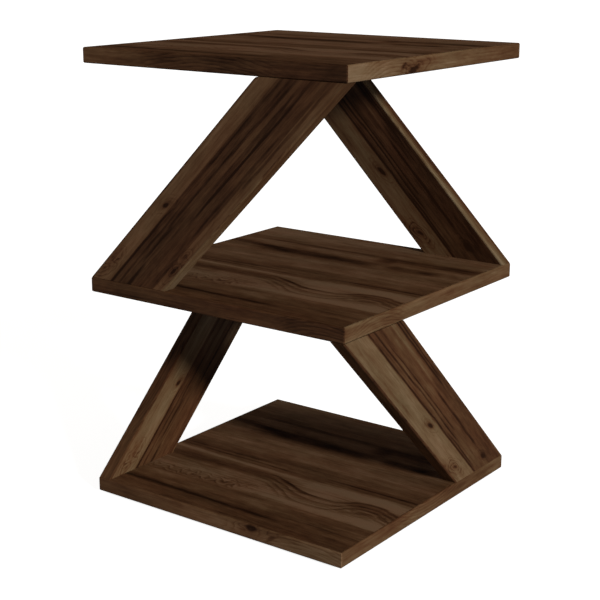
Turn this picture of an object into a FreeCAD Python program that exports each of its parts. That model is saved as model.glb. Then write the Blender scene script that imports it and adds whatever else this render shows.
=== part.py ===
import FreeCAD, Part

import math
import os

# Tiered side table: three square shelves held apart by slanted, edge-banded panels.
# Millimetres, +Z up. The origin is on the floor under the table's centre, the front faces -Y
# and the right side faces +X.
#
# The two upper panels stand flush with the front and the back, the two lower ones flush with
# the left and right sides. The panels of a tier lean opposite ways, so each tier looks the
# same from in front and from behind. Every panel end is held by two dowels and a cam fitting.

Vector = FreeCAD.Vector

# Driving dimensions of the boards
table_width = 300.0          # X
table_depth = 300.0          # Y
shelf_thickness = 15.0
panel_thickness = 15.0
panel_width = 67.5           # square across a slanted panel
upper_clear_height = 207.0   # between the top and the middle shelf
lower_clear_height = 195.0   # between the middle and the bottom shelf
front_board_heel = 6.0       # blunt top corner of the upper front panel, under its band
board_heel = 1.0             # the same corner on the other three panels

# Edge bands
band_thickness = 2.0
band_edge_radius = 1.5

# Dowels
dowel_diameter = 8.0
dowel_in_panel = 19.5
dowel_chamfer = 1.0
dowel_flutes = 12
flute_radius = 0.5
dowel_end_gap = 0.5          # glue room at the bottom of a dowel's bore
edge_wall = 5.0              # board left between a bore and a slanted edge
shelf_floor = 4.0            # board left under a bore in a shelf's face

# Cam fittings
bolt_thread_diameter = 6.0
bolt_root_diameter = 4.6
bolt_thread_pitch = 2.0
bolt_thread_flank = 0.5      # run of one flank along the bolt
bolt_collar_diameter = 7.8
bolt_collar_height = 1.5
bolt_shank_diameter = 5.0
bolt_neck_diameter = 3.6
bolt_neck_lead = 1.5         # the neck starts this far short of the cam's pocket
bolt_head_diameter = 6.4
bolt_head_height = 3.0
bolt_head_rim = 1.8          # straight part of the head, below its cone
cam_reach = 24.0             # from the panel's end to the cam's centre
cam_pocket_diameter = 15.0
cam_floor = 2.5              # board left behind a cam's pocket
cam_recess = 0.5             # the cam lies this far below the panel's face
cam_wall = 2.5               # round the cavity that holds the bolt's head
cross_length = 9.0
cross_width = 1.8
cross_depth = 2.2
cap_rim = 1.5                # the cap reaches this far past the cam's pocket
cap_thickness = 1.0
cap_edge_radius = 0.6

# Floor glides
glide_diameter = 20.0
glide_height = 3.0
glide_edge_radius = 1.0
glide_inset = 22.0           # from the shelf's faces to a glide's centre
nail_diameter = 2.0
nail_in_shelf = 10.0
nail_tip_length = 2.0
nail_tip_diameter = 0.5
nail_head_diameter = 5.0
nail_head_height = 1.2
nail_cover = 0.8             # plastic under a nail's head

# Clearances, all on the radius or to one side
bore_clearance = 0.05        # round a dowel, a thread, a nail or a cam
collar_clearance = 0.1       # round a bolt's collar in the panel
head_clearance = 0.4         # round a bolt's head in the cam
neck_clearance = 0.3         # beside a bolt's neck in the cam's slot
plug_clearance = 0.15        # round a cap's plug in the cam's cross recess

# Levels
bottom_underside = glide_height
bottom_top = bottom_underside + shelf_thickness
middle_underside = bottom_top + lower_clear_height
middle_top = middle_underside + shelf_thickness
top_underside = middle_top + upper_clear_height

X_AXIS = Vector(1, 0, 0)
Y_AXIS = Vector(0, 1, 0)
Z_AXIS = Vector(0, 0, 1)
DOWN = Vector(0, 0, -1)
ORIGIN = Vector(0, 0, 0)
SAME = 1e-6                  # lengths closer than this count as equal


def cylinder(radius, length, base, direction=Z_AXIS):
    return Part.makeCylinder(radius, length, base, direction)


def box(low, high):
    size = high - low
    return Part.makeBox(size.x, size.y, size.z, low)


def turned(shape, centre, axis, degrees):
    copy = shape.copy()
    copy.rotate(centre, axis, degrees)
    return copy


def largest_solid(shape):
    return max(shape.Solids, key=lambda solid: solid.Volume)


def round_edges(shape, radius, wanted):
    edges = [edge for edge in shape.Edges if wanted(edge)]
    return shape.makeFillet(radius, edges)


def export(name, solids):
    shape = solids[0] if len(solids) == 1 else Part.makeCompound(solids)
    shape.exportStep("parts/" + name + ".step")


# Shelves ---------------------------------------------------------------------------------------

half_width = table_width / 2
half_depth = table_depth / 2


def rounded_slab(underside):
    """The whole shelf with its bands, its upper and lower edges rounded."""
    low = Vector(-half_width, -half_depth, underside)
    high = Vector(half_width, half_depth, underside + shelf_thickness)
    slab = box(low, high)
    return round_edges(slab, band_edge_radius, lambda edge: edge.BoundBox.ZLength < SAME)


def shelf_pieces(underside):
    """The board and its four edge bands. The front and back bands cover the side bands' ends."""
    slab = rounded_slab(underside)
    roof = underside + shelf_thickness
    inner_x = half_width - band_thickness
    inner_y = half_depth - band_thickness
    spans = {
        "board": (-inner_x, inner_x, -inner_y, inner_y),
        "left_edge_band": (-half_width, -inner_x, -inner_y, inner_y),
        "right_edge_band": (inner_x, half_width, -inner_y, inner_y),
        "front_edge_band": (-half_width, half_width, -half_depth, -inner_y),
        "back_edge_band": (-half_width, half_width, inner_y, half_depth),
    }
    pieces = {}
    for name, (x0, x1, y0, y1) in spans.items():
        span = box(Vector(x0, y0, underside), Vector(x1, y1, roof))
        pieces[name] = largest_solid(slab.common(span))
    return pieces


# Panels ----------------------------------------------------------------------------------------
# A panel is drawn lying in its own plane: X runs along the shelf's side from the panel's
# pointed foot, Y goes in from its outer face and Z goes up from the shelf that it stands on.


class Panel:
    """Outline and joint places of one slanted panel between two shelves.

    The foot is as wide as makes the panel panel_width across, square to its slanted edges,
    while it reaches from corner to corner of the shelves:
    foot * height = panel_width * slant, with slant ** 2 = height ** 2 + (run - foot) ** 2.
    """

    def __init__(self, run, height, board_corner):
        self.height = height
        self.heel = board_corner + band_thickness
        square = panel_width ** 2
        root = math.sqrt(height ** 2 + run ** 2 - square)
        self.foot = panel_width * (height * root - panel_width * run) / (height ** 2 - square)
        self.run = run
        self.lean = run - self.foot
        self.slant = math.hypot(self.lean, height)
        self.across = self.slant / height
        bore_margin = (dowel_diameter / 2 + edge_wall) * self.across
        bore_lean = (dowel_in_panel + dowel_end_gap) * self.lean / height
        self.first_dowel = bore_lean + bore_margin
        self.last_dowel = self.foot - bore_margin
        self.bolt = (self.first_dowel + self.last_dowel) / 2
        self.centre = Vector(run / 2, 0, height / 2)

    def half_turned(self, shape):
        """The shape turned half round in the panel's plane, from its foot to its top."""
        return turned(shape, self.centre, Y_AXIS, 180)

    def blank(self):
        corners = [(0, 0), (self.foot, 0), (self.run, self.height), (self.lean, self.height)]
        points = [Vector(x, 0, z) for x, z in corners]
        face = Part.Face(Part.makePolygon(points + points[:1]))
        return face.extrude(Vector(0, panel_thickness, 0))

    def bent_strip(self):
        """Square-edged band along the upper slanted edge, bent round its blunt top corner."""
        along = Vector(self.lean, 0, self.height) / self.slant
        inward = Vector(self.height, 0, -self.lean) / self.slant
        turn = math.atan2(self.height, self.lean)
        tangent = self.heel * math.tan(turn / 2)
        corner = Vector(self.lean, 0, self.height)
        bend = corner - along * tangent
        end = corner + Vector(tangent, 0, 0)
        hub = end - Vector(0, 0, self.heel)
        middle = Vector(-math.sin(turn / 2), 0, math.cos(turn / 2))
        inner_foot = Vector(band_thickness * self.across, 0, 0)
        inner_bend = bend + inward * band_thickness
        inner_end = end - Vector(0, 0, band_thickness)
        inner_heel = self.heel - band_thickness
        edges = [
            Part.makeLine(ORIGIN, bend),
            Part.Arc(bend, hub + middle * self.heel, end).toShape(),
            Part.makeLine(end, inner_end),
            Part.Arc(inner_end, hub + middle * inner_heel, inner_bend).toShape(),
            Part.makeLine(inner_bend, inner_foot),
            Part.makeLine(inner_foot, ORIGIN),
        ]
        face = Part.Face(Part.Wire(edges))
        return face.extrude(Vector(0, panel_thickness, 0))

    def straight_strip(self):
        """Square-edged band along the upper slanted edge, cut square to both shelves."""
        inset = Vector(band_thickness * self.across, 0, 0)
        top = Vector(self.lean, 0, self.height)
        points = [ORIGIN, top, top + inset, inset]
        face = Part.Face(Part.makePolygon(points + points[:1]))
        return face.extrude(Vector(0, panel_thickness, 0))

    def rounded_band(self, strip):
        """Both long outer edges of a strip rounded."""
        inward = Vector(self.height, 0, -self.lean) / self.slant

        def is_outer_long_edge(edge):
            if edge.BoundBox.YLength > SAME:
                return False
            if edge.BoundBox.ZLength < SAME or edge.BoundBox.XLength < SAME:
                return False
            middle = edge.valueAt((edge.FirstParameter + edge.LastParameter) / 2)
            if edge.Length > self.slant / 2:
                return Vector(middle.x, 0, middle.z).dot(inward) < band_thickness / 2
            return abs(edge.Curve.Radius - self.heel) < band_thickness / 2

        return round_edges(strip, band_edge_radius, is_outer_long_edge)

    def pieces(self):
        upper_strip = self.bent_strip()
        lower_strip = self.half_turned(self.straight_strip())
        core = self.blank().cut(upper_strip).cut(lower_strip)
        return {
            "board": largest_solid(core),
            "upper_edge_band": self.rounded_band(upper_strip),
            "lower_edge_band": self.half_turned(self.rounded_band(self.straight_strip())),
        }


# Fittings --------------------------------------------------------------------------------------
# Each is drawn for a joint at X = 0, with the shelf's face at Z = 0. A dowel or a bolt stands on
# the origin, and joint() moves it half way into the panel. A cam, its cap and their drills are
# drawn in place, open at the panel's face Y = 0.

dowel_in_shelf = shelf_thickness - shelf_floor - dowel_end_gap
bolt_in_shelf = shelf_thickness - shelf_floor
pocket_depth = panel_thickness - cam_floor
pocket_radius = cam_pocket_diameter / 2
cam_radius = pocket_radius - bore_clearance
cam_height = pocket_depth - cam_recess
cavity_radius = pocket_radius - cam_wall
cavity_half_height = bolt_head_diameter / 2 + head_clearance
slot_half_width = bolt_neck_diameter / 2 + neck_clearance
panel_middle = panel_thickness / 2


def make_dowel():
    radius = dowel_diameter / 2
    length = dowel_in_shelf + dowel_in_panel
    body = cylinder(radius, length, Vector(0, 0, -dowel_in_shelf))
    body = body.makeChamfer(dowel_chamfer, [edge for edge in body.Edges if edge.Closed])
    for index in range(dowel_flutes):
        angle = 2 * math.pi * index / dowel_flutes
        place = Vector(radius * math.cos(angle), radius * math.sin(angle), -dowel_in_shelf)
        body = body.cut(cylinder(flute_radius, length, place))
    return largest_solid(body)


def make_bolt():
    """Chipboard thread in the shelf, collar on its face, then shank, neck and head.

    The rim of the head's underside bears on the wall of the cam's cavity.
    """
    crest = bolt_thread_diameter / 2
    root = bolt_root_diameter / 2
    collar = bolt_collar_diameter / 2
    shank = bolt_shank_diameter / 2
    neck = bolt_neck_diameter / 2
    head = bolt_head_diameter / 2
    neck_foot = cam_reach - pocket_radius - bolt_neck_lead
    head_foot = cam_reach - math.sqrt(cavity_radius ** 2 - head ** 2)
    profile = [(0, -bolt_in_shelf), (root, -bolt_in_shelf)]
    for index in range(int(bolt_in_shelf / bolt_thread_pitch)):
        crest_level = -bolt_in_shelf + (index + 0.5) * bolt_thread_pitch
        profile.append((root, crest_level - bolt_thread_flank))
        profile.append((crest, crest_level))
        profile.append((root, crest_level + bolt_thread_flank))
    profile += [
        (root, 0),
        (collar, 0),
        (collar, bolt_collar_height),
        (shank, bolt_collar_height),
        (shank, neck_foot),
        (neck, neck_foot),
        (neck, head_foot),
        (head, head_foot),
        (head, head_foot + bolt_head_rim),
        (neck, head_foot + bolt_head_height),
        (0, head_foot + bolt_head_height),
    ]
    points = [Vector(radius, 0, z) for radius, z in profile]
    face = Part.Face(Part.makePolygon(points + points[:1]))
    return face.revolve(ORIGIN, Z_AXIS, 360)


def cross(length, width, start, depth):
    """Two crossed bars that reach in along +Y from start, centred on the cam's axis."""
    bars = []
    for x, z in ((length / 2, width / 2), (width / 2, length / 2)):
        low = Vector(-x, start, cam_reach - z)
        high = Vector(x, start + depth, cam_reach + z)
        bars.append(box(low, high))
    return bars[0].fuse(bars[1]).removeSplitter()


def make_cam():
    """Cam disc in its pocket, locked round the head of the bolt.

    The head goes in through a round entry on the +X side, then the slot passes the neck.
    """
    body = cylinder(cam_radius, cam_height, Vector(0, cam_recess, cam_reach), Y_AXIS)
    cavity_foot = Vector(0, panel_middle - cavity_half_height, cam_reach)
    cavity = cylinder(cavity_radius, 2 * cavity_half_height, cavity_foot, Y_AXIS)
    slot_low = Vector(-pocket_radius, panel_middle - slot_half_width, cam_reach - pocket_radius)
    slot_high = Vector(pocket_radius, panel_middle + slot_half_width, cam_reach)
    entry_foot = Vector(0, panel_middle, cam_reach)
    entry = cylinder(cavity_half_height, pocket_radius, entry_foot, X_AXIS)
    recess = cross(cross_length, cross_width, cam_recess, cross_depth)
    return largest_solid(body.cut(cavity).cut(box(slot_low, slot_high)).cut(entry).cut(recess))


def make_cap():
    """Round cover on the panel's face with a cross-shaped plug in the cam's recess."""
    foot = Vector(0, -cap_thickness, cam_reach)
    disc = cylinder(pocket_radius + cap_rim, cap_thickness, foot, Y_AXIS)
    disc = round_edges(disc, cap_edge_radius, lambda edge:
                       edge.Closed and edge.BoundBox.YMax < -cap_thickness / 2)
    plug = cross(cross_length - 2 * plug_clearance, cross_width - 2 * plug_clearance,
                 0, cam_recess + cross_depth - plug_clearance)
    return largest_solid(disc.fuse(plug).removeSplitter())


def cam_drills():
    """Bores in the panel for the bolt, from the panel's end, and for the cam, from its face."""
    bore_radius = bolt_collar_diameter / 2 + collar_clearance
    bore = cylinder(bore_radius, cam_reach, Vector(0, panel_middle, 0))
    pocket = cylinder(pocket_radius, pocket_depth, Vector(0, 0, cam_reach), Y_AXIS)
    return [bore, pocket]


def joint(panel, cam_inside):
    """Fittings and drills of a panel's foot, in the panel's own place."""
    middle = Vector(0, panel_middle, 0)
    dowel_bore_radius = dowel_diameter / 2 + bore_clearance
    dowel_bore_in_panel = dowel_in_panel + dowel_end_gap
    dowel_bore_in_shelf = dowel_in_shelf + dowel_end_gap
    items = {"dowels": [], "panel_drills": [], "shelf_drills": []}
    for x in (panel.first_dowel, panel.last_dowel):
        place = Vector(x, panel_middle, 0)
        dowel = make_dowel()
        dowel.translate(place)
        items["dowels"].append(dowel)
        items["panel_drills"].append(cylinder(dowel_bore_radius, dowel_bore_in_panel, place))
        items["shelf_drills"].append(
            cylinder(dowel_bore_radius, dowel_bore_in_shelf, place, DOWN))

    bolt = make_bolt()
    bolt.translate(middle)
    thread_bore_radius = bolt_thread_diameter / 2 + bore_clearance
    fitting = {
        "cam_bolts": [bolt],
        "cam_discs": [make_cam()],
        "cam_cover_caps": [make_cap()],
        "panel_drills": cam_drills(),
        "shelf_drills": [cylinder(thread_bore_radius, bolt_in_shelf, middle, DOWN)],
    }
    for name, shapes in fitting.items():
        for shape in shapes:
            if cam_inside:
                shape.rotate(middle, Z_AXIS, 180)
            shape.translate(Vector(panel.bolt, 0, 0))
            items.setdefault(name, []).append(shape)
    return items


# Places of the panels --------------------------------------------------------------------------

panels = {
    "upper_front_panel": {
        "panel": Panel(table_width, upper_clear_height, front_board_heel),
        "floor": middle_top, "side": False, "far": False, "cam_inside": True,
        "foot_group": "middle_shelf_upper", "top_group": "top_shelf",
        "foot_shelf": "middle_shelf", "top_shelf": "top_shelf"},
    "upper_back_panel": {
        "panel": Panel(table_width, upper_clear_height, board_heel),
        "floor": middle_top, "side": False, "far": True, "cam_inside": False,
        "foot_group": "middle_shelf_upper", "top_group": "top_shelf",
        "foot_shelf": "middle_shelf", "top_shelf": "top_shelf"},
    "lower_left_panel": {
        "panel": Panel(table_depth, lower_clear_height, board_heel),
        "floor": bottom_top, "side": True, "far": False, "cam_inside": False,
        "foot_group": "bottom_shelf", "top_group": "middle_shelf_lower",
        "foot_shelf": "bottom_shelf", "top_shelf": "middle_shelf"},
    "lower_right_panel": {
        "panel": Panel(table_depth, lower_clear_height, board_heel),
        "floor": bottom_top, "side": True, "far": True, "cam_inside": True,
        "foot_group": "bottom_shelf", "top_group": "middle_shelf_lower",
        "foot_shelf": "bottom_shelf", "top_shelf": "middle_shelf"},
}


def placed(shape, place):
    """From the panel's own plane to its place between the shelves."""
    if place["side"]:
        start = Vector(-half_depth, -half_width, place["floor"])
    else:
        start = Vector(-half_width, -half_depth, place["floor"])
    moved = shape.copy()
    moved.translate(start)
    if place["side"]:
        moved = moved.mirror(ORIGIN, Vector(1, -1, 0))
    if place["far"]:
        moved.rotate(ORIGIN, Z_AXIS, 180)
    return moved


def cut_all(shape, tools):
    return largest_solid(shape.cut(Part.makeCompound(tools)))


def build_panels():
    """Every panel with its bands and fittings, and the drills that its shelves need."""
    nodes = {}
    shelf_drills = {"top_shelf": [], "middle_shelf": [], "bottom_shelf": []}
    for name, place in panels.items():
        panel = place["panel"]
        foot_joint = joint(panel, place["cam_inside"])
        drills = []
        for end in ("foot", "top"):
            for kind, shapes in foot_joint.items():
                if end == "top":
                    shapes = [panel.half_turned(shape) for shape in shapes]
                if kind == "panel_drills":
                    drills += shapes
                    continue
                shapes = [placed(shape, place) for shape in shapes]
                if kind == "shelf_drills":
                    shelf_drills[place[end + "_shelf"]] += shapes
                elif kind in ("dowels", "cam_bolts"):
                    nodes.setdefault(place[end + "_group"] + "_" + kind, []).extend(shapes)
                else:
                    nodes.setdefault(name + "_" + kind, []).extend(shapes)
        pieces = panel.pieces()
        pieces["board"] = cut_all(pieces["board"], drills)
        for kind, shape in pieces.items():
            nodes[name + "_" + kind] = [placed(shape, place)]
    return nodes, shelf_drills


# Floor glides ----------------------------------------------------------------------------------


def glide_places():
    x = half_width - glide_inset
    y = half_depth - glide_inset
    return [Vector(-x, -y, 0), Vector(x, -y, 0), Vector(x, y, 0), Vector(-x, y, 0)]


def make_nail():
    """Head up inside the glide, shank and tip in the shelf, with the floor at Z = 0."""
    head = cylinder(nail_head_diameter / 2, nail_head_height, Vector(0, 0, nail_cover))
    shank_foot = nail_cover + nail_head_height
    tip_foot = glide_height + nail_in_shelf - nail_tip_length
    shank = cylinder(nail_diameter / 2, tip_foot - shank_foot, Vector(0, 0, shank_foot))
    tip = Part.makeCone(nail_diameter / 2, nail_tip_diameter / 2, nail_tip_length,
                        Vector(0, 0, tip_foot))
    return largest_solid(head.fuse([shank, tip]).removeSplitter())


def make_glide():
    disc = cylinder(glide_diameter / 2, glide_height, ORIGIN)
    disc = round_edges(disc, glide_edge_radius, lambda edge:
                       edge.Closed and edge.BoundBox.ZMax < glide_height / 2)
    return largest_solid(disc.cut(make_nail()))


def build_glides():
    nodes = {"floor_glides": [], "floor_glide_nails": []}
    for place in glide_places():
        for name, shape in (("floor_glides", make_glide()), ("floor_glide_nails", make_nail())):
            shape.translate(place)
            nodes[name].append(shape)
    nail_drills = [
        cylinder(nail_diameter / 2 + bore_clearance, nail_in_shelf,
                 place + Vector(0, 0, bottom_underside))
        for place in glide_places()]
    return nodes, nail_drills


# The whole table -------------------------------------------------------------------------------


def main():
    os.makedirs("parts", exist_ok=True)
    nodes, shelf_drills = build_panels()
    glide_nodes, nail_drills = build_glides()
    nodes.update(glide_nodes)
    shelf_drills["bottom_shelf"] += nail_drills
    undersides = {
        "top_shelf": top_underside,
        "middle_shelf": middle_underside,
        "bottom_shelf": bottom_underside,
    }
    for shelf, underside in undersides.items():
        pieces = shelf_pieces(underside)
        pieces["board"] = cut_all(pieces["board"], shelf_drills[shelf])
        for kind, shape in pieces.items():
            nodes[shelf + "_" + kind] = [shape]
    for name, solids in nodes.items():
        export(name, solids)
    print(len(nodes), "nodes")


main()
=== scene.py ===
import math
from collections import namedtuple
from itertools import product

import bmesh
import bpy
from bpy.props import FloatProperty, FloatVectorProperty, IntProperty, PointerProperty
from mathutils import Matrix, Vector


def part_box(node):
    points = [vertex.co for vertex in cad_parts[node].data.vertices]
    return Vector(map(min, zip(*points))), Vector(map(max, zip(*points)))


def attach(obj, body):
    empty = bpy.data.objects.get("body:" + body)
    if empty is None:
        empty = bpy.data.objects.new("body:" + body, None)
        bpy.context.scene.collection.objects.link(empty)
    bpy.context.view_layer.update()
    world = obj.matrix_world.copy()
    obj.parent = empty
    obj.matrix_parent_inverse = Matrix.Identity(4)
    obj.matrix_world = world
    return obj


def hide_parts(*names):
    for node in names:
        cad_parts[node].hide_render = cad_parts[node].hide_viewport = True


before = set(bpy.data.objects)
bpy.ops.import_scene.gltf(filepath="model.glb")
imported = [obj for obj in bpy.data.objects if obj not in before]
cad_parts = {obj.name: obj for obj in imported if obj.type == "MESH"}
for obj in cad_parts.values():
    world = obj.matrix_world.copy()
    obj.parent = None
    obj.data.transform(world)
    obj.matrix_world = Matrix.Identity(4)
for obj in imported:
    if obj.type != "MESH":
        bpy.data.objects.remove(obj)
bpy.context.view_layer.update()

bl_info = {
    "name": "Tiered side table",
    "version": (1, 0, 0),
    "blender": (4, 5, 0),
    "location": "3D View > Sidebar > Table",
    "description": "Finishes the boards, bands and fittings of a tiered side table in walnut decor",
    "category": "Object",
}

MM = 0.001
BODY = "root"
X_AXIS = Vector((1, 0, 0))
Y_AXIS = Vector((0, 1, 0))
Z_AXIS = Vector((0, 0, 1))
SHELVES = ("bottom_shelf", "middle_shelf", "top_shelf")
SIDES = ("front", "back", "left", "right")


class TableSizes(bpy.types.PropertyGroup):
    panel_width: FloatProperty(
        name="Panel width", description="Width of a panel, square across its slanted edges",
        default=67.5 * MM, unit="LENGTH")
    panel_thickness: FloatProperty(
        name="Panel thickness", description="Thickness of a panel and its bands",
        default=15 * MM, unit="LENGTH")
    band_thickness: FloatProperty(
        name="Band thickness", description="Thickness of the edge bands",
        default=2 * MM, unit="LENGTH")
    band_rounding: FloatProperty(
        name="Band rounding", description="Radius on the long outer edges of the bands",
        default=1.5 * MM, unit="LENGTH")
    rounding_steps: IntProperty(
        name="Rounding steps", description="Facets across a band's rounding", default=6)
    seam_chamfer: FloatProperty(
        name="Seam chamfer", description="Scraped arris where a band meets its board",
        default=0.12 * MM, unit="LENGTH")
    bend_steps: IntProperty(
        name="Bend steps", description="Facets where a band bends round a corner", default=8)
    cap_diameter: FloatProperty(
        name="Cap diameter", description="Diameter of a cover cap",
        default=18 * MM, unit="LENGTH")
    cap_thickness: FloatProperty(
        name="Cap thickness", description="How far a cover cap stands off its panel",
        default=1 * MM, unit="LENGTH")
    cap_rounding: FloatProperty(
        name="Cap rounding", description="Radius on a cover cap's rim",
        default=0.55 * MM, unit="LENGTH")
    cap_crown: FloatProperty(
        name="Cap crown", description="How much higher a cover cap's middle is than its rim",
        default=0.24 * MM, unit="LENGTH")
    cap_facets: IntProperty(
        name="Cap facets", description="Facets round a cover cap", default=56)
    rim_steps: IntProperty(
        name="Rim steps", description="Facets across the rounding of a cap's rim", default=5)
    plug_length: FloatProperty(
        name="Plug length", description="Length of the crossed bars under a cover cap",
        default=8.7 * MM, unit="LENGTH")
    plug_width: FloatProperty(
        name="Plug width", description="Width of the crossed bars under a cover cap",
        default=1.5 * MM, unit="LENGTH")
    plug_depth: FloatProperty(
        name="Plug depth", description="How far the crossed bars reach into the cam",
        default=2.55 * MM, unit="LENGTH")


class WalnutFinish(bpy.types.PropertyGroup):
    darkest: FloatVectorProperty(
        name="Darkest line", description="Colour of the darkest growth lines",
        default=(0.0195, 0.0072, 0.0032), subtype="COLOR")
    dark: FloatVectorProperty(
        name="Dark wood", description="Colour of the dark heartwood zones",
        default=(0.0468, 0.0187, 0.0079), subtype="COLOR")
    brown: FloatVectorProperty(
        name="Brown wood", description="Colour of the plain brown wood",
        default=(0.081, 0.0355, 0.0148), subtype="COLOR")
    tan: FloatVectorProperty(
        name="Tan wood", description="Colour of the lighter, tan wood",
        default=(0.118, 0.0580, 0.0262), subtype="COLOR")
    light: FloatVectorProperty(
        name="Light streak", description="Colour of the lightest streaks",
        default=(0.177, 0.0998, 0.0540), subtype="COLOR")
    cool_tint: FloatVectorProperty(
        name="Cool tint", description="Multiplies the colour of the greener patches",
        default=(0.965, 1.02, 1.02), subtype="COLOR")
    warm_tint: FloatVectorProperty(
        name="Warm tint", description="Multiplies the colour of the redder patches",
        default=(1.04, 0.97, 0.96), subtype="COLOR")
    # partly painted light: the pieces that face the key light get most of this olive tint
    olive_tint: FloatVectorProperty(
        name="Olive tint", description="Multiplies the colour of the pale wood of some pieces",
        default=(0.97, 1.10, 1.15), subtype="COLOR")
    fibre_contrast: FloatProperty(
        name="Fibre contrast", description="How strongly single fibres show", default=1.0)
    pore_depth: FloatProperty(
        name="Pore depth", description="Depth of the embossed pores",
        default=0.06 * MM, unit="LENGTH")
    emboss_strength: FloatProperty(
        name="Emboss strength", description="How strongly pores and lines shade", default=0.6)
    sheen_roughness: FloatProperty(
        name="Roughness", description="Roughness of the satin surface", default=0.46)
    specular_level: FloatProperty(
        name="Specular level", description="How strongly the surface mirrors", default=0.2)


class StudioSetup(bpy.types.PropertyGroup):
    camera_place: FloatVectorProperty(
        name="Camera place", description="Where the camera stands",
        default=(0.77942, -1.06829, 0.55239), subtype="TRANSLATION", unit="LENGTH")
    camera_turn: FloatVectorProperty(
        name="Camera turn", description="How the camera is turned, as XYZ angles",
        default=[math.radians(a) for a in (74.929, -0.151, 36.395)], subtype="EULER")
    lens: FloatProperty(
        name="Lens", description="Focal length in millimetres on a 36 mm sensor", default=81.523)
    key_direction: FloatVectorProperty(
        name="Key direction", description="From the table towards the key light",
        default=(1.0, -0.335, 0.335), subtype="DIRECTION")
    key_strength: FloatProperty(
        name="Key strength", description="Strength of the key light from the right", default=3.45)
    key_softness: FloatProperty(
        name="Key softness", description="How wide the key light looks from the table",
        default=math.radians(7), subtype="ANGLE")
    key_colour: FloatVectorProperty(
        name="Key colour", description="Colour of the key light",
        default=(1.0, 1.01, 1.02), subtype="COLOR")
    fill_direction: FloatVectorProperty(
        name="Fill direction", description="From the table towards the fill light behind it",
        default=(-1.0, 0.75, 0.0), subtype="DIRECTION")
    fill_strength: FloatProperty(
        name="Fill strength", description="Strength of the fill light on the far sides",
        default=2.4)
    fill_softness: FloatProperty(
        name="Fill softness", description="How wide the fill light looks from the table",
        default=math.radians(4), subtype="ANGLE")
    surround: FloatProperty(
        name="Surround", description="Strength of the even light from all round", default=0.28)
    surround_colour: FloatVectorProperty(
        name="Surround colour", description="Colour of the even light from all round",
        default=(1.0, 0.94, 0.86), subtype="COLOR")
    mirrored_surround: FloatProperty(
        name="Mirrored surround", description="The same as glossy surfaces mirror it",
        default=0.005)
    floor_shade: FloatProperty(
        name="Floor shade", description="Brightness of the floor under the light", default=0.45)
    mirrored_floor: FloatProperty(
        name="Mirrored floor", description="The same as glossy surfaces mirror it", default=0.06)
    floor_glow: FloatProperty(
        name="Floor glow", description="Lifts the floor towards white for the camera",
        default=0.89)


# Node building ---------------------------------------------------------------------------------

COLOUR_A, COLOUR_B, COLOUR_RESULT = 6, 7, 2      # the colour sockets of a Mix node
WHITE = (1.0, 1.0, 1.0, 1.0)


def feed(tree, value, socket):
    """Links a value that changes over the surface, or sets a plain one."""
    if isinstance(value, Field):
        value = value.socket
    if isinstance(value, bpy.types.NodeSocket):
        tree.links.new(value, socket)
    else:
        socket.default_value = value


def fill_in(tree, node, sockets):
    """Sets or links a node's inputs, by name or by number."""
    for name, value in sockets.items():
        feed(tree, value, node.inputs[name])


def put(tree, kind, sockets=None, **settings):
    """Adds a shader node with its settings and inputs."""
    node = tree.nodes.new("ShaderNode" + kind)
    for name, value in settings.items():
        setattr(node, name, value)
    fill_in(tree, node, sockets or {})
    return node


class Field:
    """A value that changes over the surface. Arithmetic on it adds Math nodes to its tree."""

    def __init__(self, tree, socket):
        self.tree = tree
        self.socket = socket

    def calc(self, operation, *others, clamp=False):
        node = put(self.tree, "Math", operation=operation, use_clamp=clamp)
        for value, socket in zip((self,) + others, node.inputs):
            feed(self.tree, value, socket)
        return Field(self.tree, node.outputs[0])

    def __add__(self, other):
        return self.calc("ADD", other)

    def __sub__(self, other):
        return self.calc("SUBTRACT", other)

    def __mul__(self, other):
        return self.calc("MULTIPLY", other)

    def __truediv__(self, other):
        return self.calc("DIVIDE", other)

    def size(self):
        return self.calc("ABSOLUTE")

    def sine(self):
        return self.calc("SINE")

    def rise(self, low, high, start=0.0, end=1.0):
        """0 below low, 1 above high, with a smooth step between them."""
        node = put(self.tree, "MapRange", {
            "Value": self, "From Min": low, "From Max": high, "To Min": start, "To Max": end},
            interpolation_type="SMOOTHSTEP")
        return Field(self.tree, node.outputs["Result"])

    def fall(self, low, high):
        """1 below low, 0 above high, with a smooth step between them."""
        return self.rise(low, high, 1.0, 0.0)


def new_group(name, inputs, outputs):
    """A shader node group with named sockets: its tree, its input sockets and its output."""
    tree = bpy.data.node_groups.new(name, "ShaderNodeTree")
    for label, default in inputs.items():
        kind = "NodeSocketVector" if default is None else "NodeSocketFloat"
        socket = tree.interface.new_socket(label, in_out="INPUT", socket_type=kind)
        if default is not None:
            socket.default_value = default
    for label, kind in outputs.items():
        tree.interface.new_socket(label, in_out="OUTPUT", socket_type="NodeSocket" + kind)
    entry = tree.nodes.new("NodeGroupInput")
    leave = tree.nodes.new("NodeGroupOutput")
    fields = {
        socket.name: Field(tree, socket) for socket in entry.outputs if socket.name in inputs}
    return tree, fields, leave.inputs


def use_group(tree, group, sockets):
    """Places a node group and gives its outputs by name."""
    node = put(tree, "Group", sockets, node_tree=group)
    return {socket.name: Field(tree, socket) for socket in node.outputs}


def split(tree, vector):
    """Along and across, in millimetres."""
    node = put(tree, "SeparateXYZ", {"Vector": vector})
    return Field(tree, node.outputs["X"]), Field(tree, node.outputs["Y"])


def own_place(tree):
    """Where each point of a piece lies, in metres from the piece's own zero."""
    return put(tree, "TexCoord").outputs["Object"]


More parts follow.
